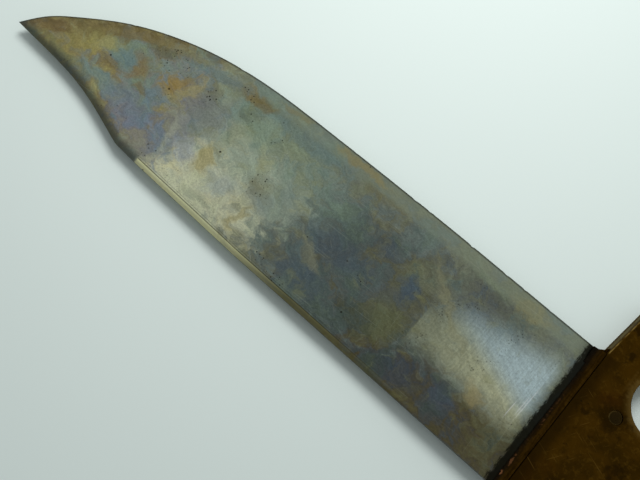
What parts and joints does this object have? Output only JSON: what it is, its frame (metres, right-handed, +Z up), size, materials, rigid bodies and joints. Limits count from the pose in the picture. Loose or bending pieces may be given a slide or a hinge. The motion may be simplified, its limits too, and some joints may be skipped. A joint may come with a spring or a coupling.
{
  "type": "knuckle-hilted clip-point knife",
  "caption": "Broad clip-point steel blade with a flat brass hilt whose finger holes form a knuckle guard on the cutting-edge side.",
  "frame": {"origin": "on the surface that the knife rests on, under the middle of its bounding box", "axes": "+X from the butt to the point, +Y from the cutting edge to the spine, +Z up through the flat of the blade"},
  "size_m": [0.3592, 0.083, 0.0084],
  "materials": {
    "blade_steel": "ground, heat-tinted and stained",
    "hilt_brass": "dark brown patina, hand-worn",
    "braze": "rough, sooted, with coppery beads",
    "rivet_brass": "filed flush and tarnished"
  },
  "bodies": {
    "root": {"blade": "blade_steel", "knuckle_spacer": "hilt_brass", "upper_hilt_plate": "hilt_brass", "lower_hilt_plate": "hilt_brass", "upper_braze_fillet": "braze", "lower_braze_fillet": "braze", "heel_braze_bead": "braze", "hilt_rivets": "rivet_brass", "ring_rivets": "rivet_brass"}
  },
  "joints": []
}
